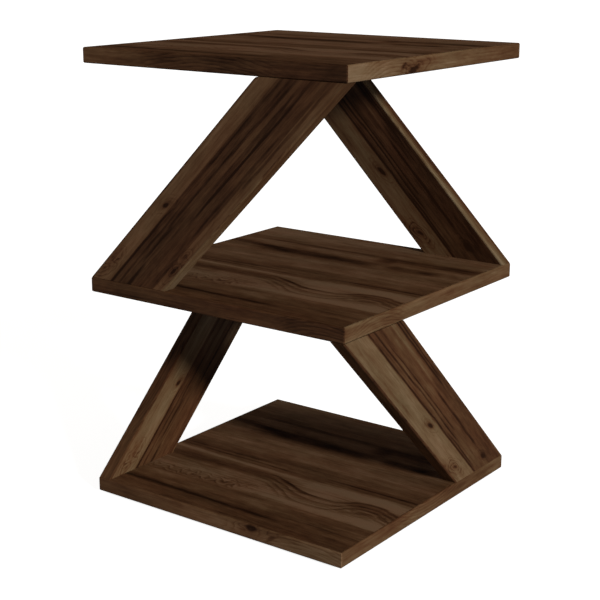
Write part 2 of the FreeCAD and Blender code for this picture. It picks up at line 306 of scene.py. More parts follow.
def spots(tree, place, scale, detail, shift=(0.0, 0.0, 0.0), roughness=0.5):
    """Noise from 0 to 1, with about this many spots to a unit of length along each axis."""
    scaled = put(tree, "Mapping", {"Vector": place, "Location": shift, "Scale": scale})
    node = put(tree, "TexNoise", {
        "Vector": scaled.outputs["Vector"], "Scale": 1.0, "Detail": detail,
        "Roughness": roughness})
    return Field(tree, node.outputs["Fac"])


def noise(tree, grain, length, width, detail=2.0, seed=0.0, roughness=0.5):
    """Noise from -0.5 to 0.5 whose spots are that long along the grain and that wide across."""
    shift = (seed, seed * 0.7, seed * 1.3)
    return spots(tree, grain, (1 / length, 1 / width, 1.0), detail, shift, roughness) - 0.5


def opaque(colour):
    return (*colour, 1.0)


def toned(tree, value, stops, blend="LINEAR"):
    """A colour that changes with a value, by a few stops in order."""
    node = put(tree, "ValToRGB", {"Fac": value})
    ramp = node.color_ramp
    ramp.interpolation = blend
    while len(ramp.elements) < len(stops):
        ramp.elements.new(1.0)
    for element, (place, colour) in zip(ramp.elements, stops):
        element.position = place
        element.color = opaque(colour)
    return node.outputs["Color"]


def mix_colours(tree, factor, first, second, way="MIX", clamp=True):
    node = put(tree, "Mix", {"Factor": factor, COLOUR_A: first, COLOUR_B: second},
               data_type="RGBA", blend_type=way, clamp_factor=clamp)
    return node.outputs[COLOUR_RESULT]


# Walnut decor ----------------------------------------------------------------------------------
# Every print works in millimetres along and across the grain and gives a tone from 0, the
# darkest line, to 1, the lightest streak.
# A streak runs along the grain from start to end, fades in and out over fade, and adds its tone
# at its level across the grain, out to half_width; rise is how much it climbs per millimetre.
# A knot adds the tone core to its eye and the tone rings to the lines that swirl round it.

Streak =namedtuple("Streak", "start end level tone half_width rise fade", defaults=(0.0, 25.0))
Knot = namedtuple("Knot", "at level length width core rings")
SHEET_STEP = 9.7             # keeps the noise of one sheet of decor apart from the next
SHELF_SHEET, PANEL_SHEET, FIRST_BAND_SHEET = 0, 1, 2
NO_KNOT = 400.0              # a place past the end of every band


def make_streak_group():
    """One streak of the grain: soft at both ends, and level or slightly rising."""
    tree, given, out = new_group("grain_streak", {
        "Along": 0.0, "Across": 0.0, "Start": 0.0, "End": 100.0, "Level": 0.0, "Rise": 0.0,
        "Half Width": 2.0, "Fade": 25.0}, {"Mask": "Float"})
    along = given["Along"]
    centre = given["Level"] + (along - given["Start"]) * given["Rise"]
    profile = ((given["Across"] - centre).size() / given["Half Width"]).fall(0.25, 1.0)
    arrives = along.rise(given["Start"], given["Start"] + given["Fade"])
    leaves = along.fall(given["End"] - given["Fade"], given["End"])
    feed(tree, profile * arrives * leaves, out["Mask"])
    return tree


def make_line_group():
    """Growth lines: one for each whole phase, sharp on one side and fading on the other."""
    tree, given, out = new_group("growth_lines", {"Phase": 0.0, "Thinness": 3.0}, {
        "Line": "Float"})
    part = given["Phase"].calc("FRACT")
    fading = (part * -1.0 + 1.0).calc("POWER", given["Thinness"])
    feed(tree, fading * part.rise(0.0, 0.07), out["Line"])
    return tree


def growth_line(tree, groups, phase, thinness=3.0):
    return use_group(tree, groups["lines"], {"Phase": phase, "Thinness": thinness})["Line"]


def make_knot_group(groups):
    """A pin knot, the growth lines that swirl round it and how it pushes the grain aside."""
    tree, given, out = new_group("pin_knot", {
        "Along": 0.0, "Across": 0.0, "At": 0.0, "Level": 0.0, "Length": 10.0, "Width": 5.0},
        {"Core": "Float", "Rings": "Float", "Bend": "Float"})
    grain = put(tree, "CombineXYZ", {"X": given["Along"], "Y": given["Across"]}).outputs[0]
    wobble = noise(tree, grain, 16, 9, 1.0, seed=3.1)
    rise = given["Across"] - given["Level"]
    dx = (given["Along"] - given["At"] - rise) / given["Length"]
    dy = rise / given["Width"]
    distance = (dx * dx + dy * dy).calc("SQRT") + wobble * 0.7
    core = distance.fall(0.10, 0.44) + (distance - dx * 0.3).fall(0.15, 1.1) * 0.35
    feed(tree, core, out["Core"])
    broken = noise(tree, grain, 17, 6, 1.0, seed=9.4).rise(-0.14, 0.08)
    rings = growth_line(tree, groups, distance * 2.5 + wobble * 0.8) * distance.fall(0.7, 1.7)
    feed(tree, rings * broken, out["Rings"])
    feed(tree, rise * distance.fall(0.1, 1.7) * -0.6, out["Bend"])
    return tree


def make_fibre_group(groups):
    """Growth lines, fibres and pores that every print shares."""
    tree, given, out = new_group("wood_fibre", {"Grain": None}, {
        "Tone": "Float", "Pores": "Float", "Hue": "Float"})
    grain = given["Grain"]
    along, across = split(tree, grain)
    phase = across / 5.5 + noise(tree, grain, 260, 24, seed=31.0) * 7.0
    phase = phase + noise(tree, grain, 55, 7, seed=37.0) * 1.1
    shown = noise(tree, grain, 170, 13, seed=53.0).rise(-0.06, 0.14)
    growth = growth_line(tree, groups, phase) * shown
    broad = noise(tree, grain, 170, 8, 3.0, seed=11.0)
    narrow = noise(tree, grain, 90, 2.6, 3.0, seed=23.0, roughness=0.65)
    fine = noise(tree, grain, 26, 0.8, 2.0, seed=5.0)
    flecks = noise(tree, grain, 11, 2.4, 2.0, seed=83.0)
    pores = noise(tree, grain, 5, 0.28, 1.0, seed=41.0).rise(0.10, 0.24)
    patches = noise(tree, grain, 70, 22, 2.0, seed=67.0)
    clouds = noise(tree, grain, 42, 13, 2.0, seed=97.0)
    tone = broad * 0.44 + narrow * 0.50 + fine * 0.46 + flecks * 0.40 + clouds * 0.50
    feed(tree, tone - growth * 0.20 - pores * 0.08 + 0.05, out["Tone"])
    feed(tree, pores, out["Pores"])
    feed(tree, (patches * 2.4 + 0.5).calc("ADD", 0.0, clamp=True), out["Hue"])
    return tree


def make_tones_group(walnut):
    """From a tone to the decor's colour, gloss and embossing."""
    tree, given, out = new_group("walnut_tones", {
        "Tone": 0.5, "Pores": 0.0, "Hue": 0.5, "Olive": 0.0}, {
        "Color": "Color", "Roughness": "Float", "Height": "Float"})
    wood = toned(tree, given["Tone"], (
        (0.0, walnut.darkest), (0.22, walnut.dark), (0.46, walnut.brown),
        (0.70, walnut.tan), (1.0, walnut.light)))
    tint = mix_colours(
        tree, given["Hue"], opaque(walnut.cool_tint), opaque(walnut.warm_tint))
    pale = given["Tone"].rise(0.30, 0.65) * given["Olive"]
    olive = mix_colours(tree, pale, WHITE, opaque(walnut.olive_tint), clamp=False)
    colour = mix_colours(tree, 1.0, wood, tint, "MULTIPLY")
    feed(tree, mix_colours(tree, 1.0, colour, olive, "MULTIPLY"), out["Color"])
    rough = given["Pores"] * 0.16 + walnut.sheen_roughness - (given["Tone"] - 0.5) * 0.06
    feed(tree, rough, out["Roughness"])
    feed(tree, given["Tone"] * 0.25 - given["Pores"], out["Height"])
    return tree


def base_tone(tree, across, low, high, stops):
    """The tone across the grain, from a few levels between low and high."""
    greys = [((level - low) / (high - low), (tone, tone, tone)) for level, tone in stops]
    return Field(tree, toned(tree, (across - low) / (high - low), greys, "EASE"))


def add_streaks(tree, groups, tone, along, across, streaks):
    for streak in streaks:
        placed = use_group(tree, groups["streak"], {
            "Along": along, "Across": across, "Start": streak.start, "End": streak.end,
            "Level": streak.level, "Rise": streak.rise, "Half Width": streak.half_width,
            "Fade": streak.fade})
        tone = tone + placed["Mask"] * streak.tone
    return tone


def place_knots(tree, groups, along, across, knots):
    """The tone that the knots add, and the grain as they bend it."""
    tone, bent = 0.0, across
    for knot in knots:
        placed = use_group(tree, groups["knot"], {
            "Along": along, "Across": across, "At": knot.at, "Level": knot.level,
            "Length": knot.length, "Width": knot.width})
        tone = placed["Core"] * knot.core + placed["Rings"] * knot.rings + tone
        bent = bent + placed["Bend"]
    return tone, bent


def wandering(tree, grain):
    """Along and across with the grain's slow wander."""
    along, across = split(tree, grain)
    across = across + noise(tree, grain, 120, 45, seed=2.0) * 5.0
    across = across + noise(tree, grain, 35, 9, seed=7.0) * 1.6
    return along, across


# The shelves' print, in millimetres from the middle of the shelf
PRINT_REACH = 150.0
SHELF_TONES = (              # level across the grain, and the tone there
    (-150, 0.44), (-131, 0.47), (-119, 0.48), (-108, 0.54), (-96, 0.57), (-93, 0.75),
    (-84, 0.86), (-76, 0.86), (-66, 0.85), (-57, 0.68), (-50, 0.55), (-42, 0.53),
    (-36, 0.62), (-31, 0.66), (-25, 0.52), (-18, 0.46), (-8, 0.47), (0, 0.51), (8, 0.68),
    (14, 0.70), (22, 0.66), (34, 0.67), (44, 0.62), (62, 0.58), (72, 0.68), (81, 0.68),
    (88, 0.62), (97, 0.62), (106, 0.65), (114, 0.75), (128, 0.82), (150, 0.80))
SHELF_STREAKS = (
    Streak(-150, 60, 91, -0.38, 5.0, rise=-0.006, fade=60),
    Streak(20, 175, 86, -0.50, 13.0, fade=50),
    Streak(-176, -46, 71, -0.40, 8.0, rise=-0.10, fade=56),
    Streak(-118, 60, 59, -0.34, 12.0, rise=-0.02, fade=40),
    Streak(-90, 58, 57, -0.10, 7.0, fade=26),
    Streak(-130, 56, 62, -0.12, 16.0, fade=50),
    Streak(52, 124, 57, -0.34, 11.0, fade=16),
    Streak(90, 116, 58, -0.12, 7.0, fade=10),
    Streak(-170, -40, 15, 0.10, 9.0, fade=60),
    Streak(-160, -30, -16, -0.24, 2.2),
    Streak(30, 165, -17, -0.26, 2.4),
    Streak(-160, 20, -23, -0.24, 2.0),
    Streak(60, 165, -23.5, -0.18, 1.6),
    Streak(-165, 26, -31.5, 0.42, 4.2, rise=-0.01),
    Streak(0, 185, -38, 0.46, 13.0, fade=56),
    Streak(-150, 4, -48, -0.22, 11.0, fade=30),
    Streak(-150, 10, -68, 0.10, 6.0, fade=40),
    Streak(4, 190, -85.5, 0.32, 10.5, fade=50),
    Streak(-175, -20, -104, 0.14, 9.0, fade=60),
    Streak(20, 190, -112, -0.12, 13.0, fade=60),
    Streak(50, 195, -137, -0.14, 9.0, fade=50),
    Streak(-150, 70, -124, -0.18, 7.5, rise=-0.016),
    Streak(-150, 62, -125, -0.24, 3.6, rise=-0.016),
    Streak(-70, 6, -126.3, -0.12, 2.8, fade=20),
    Streak(30, 165, -129.5, -0.14, 2.4, rise=-0.02))
SHELF_BRIDGE = Streak(58, 98, 47, -0.24, 15.0, rise=-0.1, fade=16)    # runs across the grain
SHELF_KNOTS = (
    Knot(-46, -86, 13, 10, core=-0.08, rings=-0.56),
    Knot(-20, -83, 14, 10, core=-0.04, rings=-0.46),
    Knot(-84, -88, 12, 8, core=-0.04, rings=-0.36),
    Knot(118, -66, 26, 9, core=-0.26, rings=-0.40))
FIGURE_CURVE = (             # place along the grain, and the level of the figure's far edge
    (-150, -38), (-60, -38.5), (-6, -40), (4, -42.5), (16, -46), (30, -52), (42, -56),
    (60, -57.5), (76, -57), (90, -52), (104, -44.5), (120, -43), (136, -47.5), (150, -53))
FIGURE_SPACING = (
    (-150, 6.0), (-10, 6.5), (16, 8.0), (40, 10.5), (66, 11.0), (90, 9.0), (110, 8.0),
    (150, 7.5))              # from one line of the wavy figure to the next
CURL_WAVE = 17.0             # from one wave of the curly lines to the next


def hand_curve(tree, along, levels, low, high):
    """A level between low and high that follows a few chosen points along the shelf."""
    length = 2 * PRINT_REACH
    curve = put(tree, "FloatCurve", {"Value": (along + PRINT_REACH) / length})
    points = curve.mapping.curves[0].points
    while len(points) < len(levels):
        points.new(0.5, 0.5)
    for point, (place, level) in zip(points, levels):
        point.location = ((place + PRINT_REACH) / length, (level - low) / (high - low))
    curve.mapping.update()
    return Field(tree, curve.outputs["Value"]) * (high - low) + low


def wavy_figure(tree, groups, grain, along, across):
    """Nested wavy lines under a paler patch, as where the saw met the rise of a crotch."""
    depth = across - hand_curve(tree, along, FIGURE_CURVE, -60.0, -35.0)
    spacing = hand_curve(tree, along, FIGURE_SPACING, 5.0, 12.0)
    phase = depth * -1.0 / spacing + noise(tree, grain, 50, 14, seed=19.0) * 0.6
    held = along.rise(-30.0, 14.0) * depth.rise(-34.0, -20.0) * depth.fall(-0.3, 1.0)
    lines = growth_line(tree, groups, phase, 2.3) * 0.62
    minor = along.rise(80.0, 112.0) * 0.26 + 0.10
    lines = lines + growth_line(tree, groups, phase * 2.0 + 0.4, 3.0) * minor
    shade = (depth + 2.4).size().fall(0.4, 3.6) * along.rise(-6.0, 20.0) * along.fall(44.0, 70.0)
    lit = along.rise(-20.0, 60.0) * (depth - 8.0).size().fall(3.0, 11.0)
    return lit * 0.14 - lines * held - shade * 0.26


def curly_figure(tree, groups, grain, along, across):
    """A row of small curls that rises slowly to the right."""
    depth = across - along * 0.09 + 71.0
    wave = (along * (math.tau / CURL_WAVE) + noise(tree, grain, 40, 16, seed=73.0) * 9.0).sine()
    phase = depth / -6.6 + wave * 0.50 + noise(tree, grain, 22, 10, seed=79.0) * 0.8
    held = along.rise(-142.0, -118.0) * along.fall(-34.0, -4.0)
    held = held * depth.rise(-20.0, -12.0) * depth.fall(-0.5, 2.0)
    return growth_line(tree, groups, phase, 2.2) * held * -0.66


def make_shelf_print(groups):
    """The shelves' print: long dark streaks behind, a wavy figure in front of the middle."""
    tree, given, out = new_group("shelf_print", {"Grain": None}, {"Tone": "Float"})
    grain = given["Grain"]
    along, across = wandering(tree, grain)
    knots, across = place_knots(tree, groups, along, across, SHELF_KNOTS)
    tone = base_tone(tree, across, -PRINT_REACH, PRINT_REACH, SHELF_TONES) + knots
    tone = add_streaks(tree, groups, tone, along, across, SHELF_STREAKS)
    tone = add_streaks(tree, groups, tone, across, along, (SHELF_BRIDGE,))
    tone = tone + wavy_figure(tree, groups, grain, along, across)
    tone = tone + curly_figure(tree, groups, grain, along, across)
    feed(tree, tone, out["Tone"])
    return tree


# The panels' two prints, from the upper slanted edge down and from the pointed foot on
PANEL_PRINT_WIDTH = 67.5
PAINTED_LIGHT_AT_TOP_SPAN = (155.0, 195.0)     # where the painted light on a panel's upper end sets in
LIGHT_TOPPED_TONES = (
    (0, 0.61), (5, 0.70), (12, 0.71), (17, 0.66), (18.6, 0.32), (25, 0.36), (31, 0.31),
    (37, 0.36), (44, 0.36), (52, 0.40), (56.5, 0.36), (58, 0.64), (67.5, 0.68))
LIGHT_TOPPED_STREAKS = (
    Streak(-20, 160, 19.6, -0.28, 1.9, fade=50),
    Streak(150, 330, 20.5, -0.16, 1.7, fade=40),
    Streak(10, 150, 26, -0.20, 1.7),
    Streak(110, 330, 28.5, -0.20, 2.0, rise=0.012),
    Streak(-10, 78, 34.5, -0.30, 2.2, fade=30),
    Streak(56, 128, 31, -0.28, 2.2),
    Streak(128, 345, 42.8, -0.40, 1.7, rise=0.006, fade=50),
    Streak(170, 330, 38.5, -0.12, 2.6),
    Streak(190, 360, 35, 0.12, 4.0),
    Streak(120, 280, 53.5, -0.18, 1.7),
    Streak(200, 390, 59.5, -0.32, 2.2),
    Streak(90, 215, 52, -0.10, 4.0),
    Streak(120, 330, 4.0, 0.12, 2.2))
LIGHT_TOPPED_KNOTS = (
    Knot(129, 13, 14, 7, core=-0.56, rings=-0.30),
    Knot(38, 4, 13, 8, core=-0.22, rings=-0.56),
    Knot(21, 5, 15, 9, core=-0.06, rings=-0.48),
    Knot(90, 62, 18, 6, core=-0.34, rings=-0.40),
    Knot(112, 61, 15, 5, core=-0.22, rings=-0.34))
DARK_TOPPED_TONES = (
    (0, 0.26), (6, 0.28), (12, 0.32), (18, 0.33), (25, 0.38), (28.5, 0.32), (33, 0.37),
    (38, 0.37), (40.8, 0.28), (42.4, 0.67), (50, 0.74), (60, 0.74), (67.5, 0.64))
DARK_TOPPED_STREAKS = (
    Streak(20, 350, 40.6, -0.24, 1.8),
    Streak(40, 130, 38, -0.34, 1.2, rise=-0.012),
    Streak(90, 230, 34.5, -0.32, 1.2, rise=-0.012),
    Streak(205, 335, 34.0, -0.34, 1.5),
    Streak(110, 300, 29.5, -0.26, 1.1),
    Streak(180, 340, 5.0, -0.36, 1.1),
    Streak(160, 340, 8.0, -0.38, 1.3),
    # partly print and partly painted light, where the upper back panel lies in the top shelf's
    # shade
    Streak(175, 360, 13.5, 0.26, 5.0, fade=40),
    Streak(50, 190, 20, -0.26, 2.2, rise=-0.01),
    Streak(0, 110, 12, -0.12, 6.0),
    Streak(150, 340, 21, 0.10, 4.5),
    Streak(190, 360, 56, -0.10, 10.0, fade=40),
    Streak(190, 350, 60, -0.12, 2.0),
    Streak(60, 150, 64, -0.10, 2.2))
DARK_TOPPED_KNOTS = (
    Knot(161, 48.5, 15, 7, core=-0.62, rings=-0.30),
    Knot(85, 57, 15, 9, core=-0.16, rings=-0.60),
    Knot(38, 20.5, 15, 6, core=-0.40, rings=-0.20))


def make_panel_print(groups, name, tones, streaks, knots):
    """A panel's print: two planks of different tone with their own streaks and knots, and painted
    light that lifts its upper end.
    """
    tree, given, out = new_group(name, {"Grain": None, "Upper End": 0.0}, {"Tone": "Float"})
    along, across = split(tree, given["Grain"])
    planks = base_tone(tree, across, 0.0, PANEL_PRINT_WIDTH, tones)
    across = across + noise(tree, given["Grain"], 110, 30, seed=2.0) * 3.0
    across = across + noise(tree, given["Grain"], 30, 8, seed=7.0) * 1.3
    marks, across = place_knots(tree, groups, along, across, knots)
    tone = add_streaks(tree, groups, planks + marks, along, across, streaks)
    # painted light: lifts a panel's upper end, where it lies in shade under the shelf above
    feed(tree, tone + along.rise(*PAINTED_LIGHT_AT_TOP_SPAN) * given["Upper End"], out["Tone"])
    return tree


def make_band_print(groups):
    """The bands' print: arched lines, a slope of tone, one or two knots, and painted shade along
    the first edge.
    """
    tree, given, out = new_group("band_print", {
        "Grain": None, "Slope": 0.0, "Arch At": 0.0, "Arch Reach": 70.0, "Arch Height": 9.0,
        "Knot At": NO_KNOT, "Knot Level": 6.0, "Twin At": NO_KNOT, "First Edge": 0.0}, {
        "Tone": "Float"})
    grain = given["Grain"]
    along, across = split(tree, grain)
    # painted shade: darkens the band towards its first edge
    first_edge = across.fall(5.0, 13.5) * given["First Edge"]
    knot = use_group(tree, groups["knot"], {
        "Along": along, "Across": across, "At": given["Knot At"],
        "Level": given["Knot Level"], "Length": 23.0, "Width": 12.0})
    twin = use_group(tree, groups["knot"], {
        "Along": along, "Across": across, "At": given["Twin At"], "Level": 7.0,
        "Length": 12.0, "Width": 9.0})
    across = across + knot["Bend"] + noise(tree, grain, 60, 12, seed=4.0) * 4.0
    reach = ((along - given["Arch At"]) / given["Arch Reach"]).size()
    arched = across + reach * reach * given["Arch Height"]
    phase = arched / 3.4 + noise(tree, grain, 45, 6, seed=8.0) * 1.4
    tone = growth_line(tree, groups, phase, 1.6) * reach.fall(0.5, 1.5) * -0.25 + 0.54
    tone = tone + noise(tree, grain, 200, 5, 3.0, seed=15.0) * 0.42
    tone = tone + noise(tree, grain, 50, 40, seed=27.0) * 0.25 + along * given["Slope"]
    tone = tone + knot["Core"] * -0.54 + knot["Rings"] * -0.34 + twin["Core"] * -0.34
    feed(tree, tone + first_edge, out["Tone"])
    return tree


def walnut_groups(walnut):
    """All node groups of the walnut decor, built once."""
    groups = {
        "lines": make_line_group(), "streak": make_streak_group(),
        "tones": make_tones_group(walnut)}
    groups["knot"] = make_knot_group(groups)
    groups["fibre"] = make_fibre_group(groups)
    groups["shelf"] = make_shelf_print(groups)
    groups["light_topped"] = make_panel_print(
        groups, "light_topped_print", LIGHT_TOPPED_TONES, LIGHT_TOPPED_STREAKS,
        LIGHT_TOPPED_KNOTS)
    groups["dark_topped"] = make_panel_print(
        groups, "dark_topped_print", DARK_TOPPED_TONES, DARK_TOPPED_STREAKS,
        DARK_TOPPED_KNOTS)
    groups["band"] = make_band_print(groups)
    return groups


# How strongly the shared fibres show in each print
FIBRE_SHARE = {"shelf": 1.12, "light_topped": 0.78, "dark_topped": 0.74, "band": 0.80}
_groups = {}                         # filled when the first piece gets its decor


def grain_place(tree, origin, along, across, sheet):
    """Millimetres along and across a piece's grain, and which sheet of decor it is cut from."""
    turn = Matrix((along, across, along.cross(across))).transposed().to_euler()
    place = put(tree, "Mapping", {
        "Vector": own_place(tree), "Location": origin, "Rotation": turn,
        "Scale": (MM, MM, MM)}, vector_type="TEXTURE")
    along, across = split(tree, place.outputs["Vector"])
    grain = put(tree, "CombineXYZ", {"X": along, "Y": across, "Z": sheet * SHEET_STEP})
    return grain.outputs["Vector"]


def new_material(name):
    material = bpy.data.materials.new(name)
    material.use_nodes = True
    tree = material.node_tree
    return material, tree, tree.nodes["Principled BSDF"]


def emboss(tree, shader, height, strength, depth):
    """Shades small heights into a surface without moving it."""
    bump = put(tree, "Bump", {"Height": height, "Strength": strength, "Distance": depth})
    feed(tree, bump.outputs["Normal"], shader.inputs["Normal"])


def walnut_material(name, print_name, grain_at, sheet, tone=0.0, olive=0.0, more=None):
    """Walnut decor on one piece: its print, where its grain starts and runs, and its tone."""
    walnut = bpy.context.scene.walnut_finish
    if not _groups:
        _groups.update(walnut_groups(walnut))
    material, tree, shader = new_material(name)
    grain = grain_place(tree, *grain_at, sheet)
    printed = use_group(tree, _groups[print_name], {"Grain": grain, **(more or {})})
    fibre = use_group(tree, _groups["fibre"], {"Grain": grain})
    contrast = walnut.fibre_contrast * FIBRE_SHARE[print_name]
    finish = use_group(tree, _groups["tones"], {
        "Tone": fibre["Tone"] * contrast + printed["Tone"] + tone,
        "Pores": fibre["Pores"], "Hue": fibre["Hue"], "Olive": olive})
    fill_in(tree, shader, {
        "Base Color": finish["Color"], "Roughness": finish["Roughness"],
        "Specular IOR Level": walnut.specular_level})
    emboss(tree, shader, finish["Height"], walnut.emboss_strength, walnut.pore_depth)
    return material


# Pieces ----------------------------------------------------------------------------------------

SAME_LEVEL = 1e-6                    # corners this close, in metres, are on one level
ON_PLANE = 1e-7                      # corners this close to a cutting plane lie in it
SHARP_ANGLE = math.radians(35)       # faces that meet at a flatter angle are shaded as one


def add_object(name, data):
    item = bpy.data.objects.new(name, data)
    bpy.context.scene.collection.objects.link(item)
    return item


def add_mesh(name, shape, material):
    """Makes a bmesh an object of the scene."""
    mesh = bpy.data.meshes.new(name)
    shape.to_mesh(mesh)
    shape.free()
    mesh.materials.append(material)
    return add_object(name, mesh)


def finish_piece(name, shape, material, replaced):
    """Makes a bmesh a piece of the table in place of a CAD node."""
    bmesh.ops.recalc_face_normals(shape, faces=shape.faces)
    piece = add_mesh(name, shape, material)
    piece.data.shade_smooth()
    piece.data.set_sharp_from_angle(angle=SHARP_ANGLE)
    flat = piece.modifiers.new("flat_faces", "WEIGHTED_NORMAL")
    flat.keep_sharp = True
    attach(piece, BODY)
    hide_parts(replaced)
    return piece


def block(low, high):
    """A bmesh box between two corners."""
    shape = bmesh.new()
    middle = (low + high) / 2
    bmesh.ops.create_cube(
        shape, size=1.0,
        matrix=Matrix.Translation(middle) @ Matrix.Diagonal((*(high - low), 1.0)))
    return shape


def cut_away(shape, place, outward):
    """Cuts off what lies past a plane, closes the cut and returns its edges."""
    everything = shape.verts[:] + shape.edges[:] + shape.faces[:]
    cut = bmesh.ops.bisect_plane(
        shape, geom=everything, dist=ON_PLANE, plane_co=place, plane_no=outward,
        clear_outer=True)
    rim = [item for item in cut["geom_cut"] if isinstance(item, bmesh.types.BMEdge)]
    bmesh.ops.holes_fill(shape, edges=rim, sides=0)
    return rim


def edges_at(shape, level):
    return [e for e in shape.edges if all(abs(v.co.z - level) < SAME_LEVEL for v in e.verts)]


def round_over(shape, edges, radius, steps, clamp=False):
    """Rounds edges over, or with one step takes their arris off."""
    bmesh.ops.bevel(
        shape, geom=edges, offset=radius, offset_type="OFFSET", segments=steps, profile=0.5,
        affect="EDGES", material=-1, clamp_overlap=clamp)


def paint_node(name, material):
    """Gives a CAD node's slots their finished material."""
    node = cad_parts[name]
    if not node.material_slots:
        raise RuntimeError(name + " has no material slot")
    for slot in node.material_slots:
        slot.material = material


def shelf_levels(shelf):
    """Underside and top of a shelf."""
    low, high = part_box(shelf + "_board")
    return low.z, high.z


# A panel stands between floor and roof. It lies along X, or sideways along Y, and may be turned
# half round. Heel is the radius of its band's bend; the rest shifts and tones its print, and
# lifts its upper end with painted light.
SlantedPanel = namedtuple(
    "SlantedPanel", "name floor roof sideways turned heel print_shift tone olive upper_end")


def panel_list():
    """The four panels, with their levels read from the frame."""
    bottom, middle, top = (shelf_levels(shelf) for shelf in SHELVES)
    upper = (middle[1], top[0])
    lower = (bottom[1], middle[0])
    # the olive tint of the lower panels, which face the key light, is partly painted light
    return tuple(SlantedPanel(*row) for row in (
        ("upper_front_panel", *upper, False, False, 8 * MM, 0.0, -0.10, 0.3, 0.0),
        # its lower tone is partly print and partly painted shade, for lying under the top shelf
        # behind the front panel
        ("upper_back_panel", *upper, False, True, 3 * MM, 0.0, -0.19, 1.7, 0.0),
        # painted light on its upper end, which lies in shade under the middle shelf
        ("lower_left_panel", *lower, True, False, 3 * MM, 8 * MM, -0.07, 1.6, 0.20),
        ("lower_right_panel", *lower, True, True, 3 * MM, 0.0, -0.03, 1.8, 0.0)))


def table_half():
    """Half the width of the square shelves."""
    low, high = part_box("top_shelf_front_edge_band")
    return high.x


class PanelFrame:
    """A panel's outline and the way from its own plane to its place.

    In its own plane X runs along the shelf from the pointed foot, Y goes in from the outer
    face and Z goes up from the shelf below. Foot is how much of the shelf the panel's end
    covers, lean is how far the panel leans over, and slant is how long its slanted edges are.
    The foot follows from the panel's width, which is measured square across the slant.
    """

    def __init__(self, panel, sizes):
        half = table_half()
        width = sizes.panel_width
        self.run = 2 * half
        self.height = panel.roof - panel.floor
        root = math.sqrt(self.height ** 2 + self.run ** 2 - width ** 2)
        self.foot = width * (self.height * root - width * self.run) / (
            self.height ** 2 - width ** 2)
        self.lean = self.run - self.foot
        self.slant = math.hypot(self.lean, self.height)
        self.along = Vector((self.lean, 0, self.height)) / self.slant
        self.across = Vector((self.height, 0, -self.lean)) / self.slant
        self.place = Matrix.Translation(Vector((-half, -half, panel.floor)))
        if panel.sideways:
            swap = Matrix(((0, 1, 0, 0), (1, 0, 0, 0), (0, 0, 1, 0), (0, 0, 0, 1)))
            self.place = swap @ self.place
        if panel.turned:
            self.place = Matrix.Rotation(math.pi, 4, "Z") @ self.place

    def point(self, place):
        return self.place @ Vector(place)

    def direction(self, vector):
        return self.place.to_3x3() @ vector


# Tone and olive tint of each shelf; the top shelf's lighter tone is partly print and partly painted
# sheen
SHELF_LOOKS = {
    "bottom_shelf": (-0.02, 0.0), "middle_shelf": (0.02, 0.0), "top_shelf": (0.13, -0.6)}


class TABLE_OT_finish_boards(bpy.types.Operator):
    """Gives the shelf and panel boards their walnut decor"""

    bl_idname = "table.finish_boards"
    bl_label = "Finish boards"

    def execute(self, context):
        sizes = context.scene.table_sizes
        for name, (tone, olive) in SHELF_LOOKS.items():
            grain_at = (Vector(), X_AXIS, Y_AXIS)
            material = walnut_material(
                name + "_decor", "shelf", grain_at, SHELF_SHEET, tone, olive)
            paint_node(name + "_board", material)
        for panel in panel_list():
            own = PanelFrame(panel, sizes)
            print_name = "dark_topped" if panel.turned else "light_topped"
            grain_at = (own.point(own.across * panel.print_shift), own.direction(own.along),
                        own.direction(own.across))
            material = walnut_material(
                panel.name + "_decor", print_name, grain_at, PANEL_SHEET, panel.tone,
                panel.olive, more={"Upper End": panel.upper_end})
            paint_node(panel.name + "_board", material)
        return {"FINISHED"}


# Look of each band: its tone, how olive it is and how its tone changes to the right, the place,
# reach and height of its arched figure, the place and level of its knot, the place of the
# knot's fainter twin, in millimetres along the band, and the painted shade that its first edge
# adds: a shelf band's lower edge, or a panel band's edge on the outer face
BandLook = namedtuple(
    "BandLook", "tone olive slope arch reach height knot knot_level twin first_edge",
    defaults=(0.5, 0.0, 20.0, 60.0, 9.0, NO_KNOT, 6.0, NO_KNOT, 0.0))
PLAIN_TONE = -0.05                   # of the bands without a look of their own
# the right bands face the key light and get the olive tint while the front bands don't: painted
# light
SHELF_BAND_LOOKS = {
    "top_shelf_front": BandLook(-0.25, 0.0, -0.0016, -5, 75, 10),
    "top_shelf_right": BandLook(0.08, 1.3, -0.0016, -80, 40, 10, -44, 5.0, -64),
    "middle_shelf_front": BandLook(-0.29, 0.0, 0.0, 128, 45, 9),
    "middle_shelf_right": BandLook(0.0, 1.3, 0.0, -94, 40, 9),
    "bottom_shelf_front": BandLook(0.11, 0.3, 0.0013, 110, 50, 9, 47, 11.0, 70),
    "bottom_shelf_right": BandLook(-0.03, 1.3, 0.0, 5, 55, -9),
}


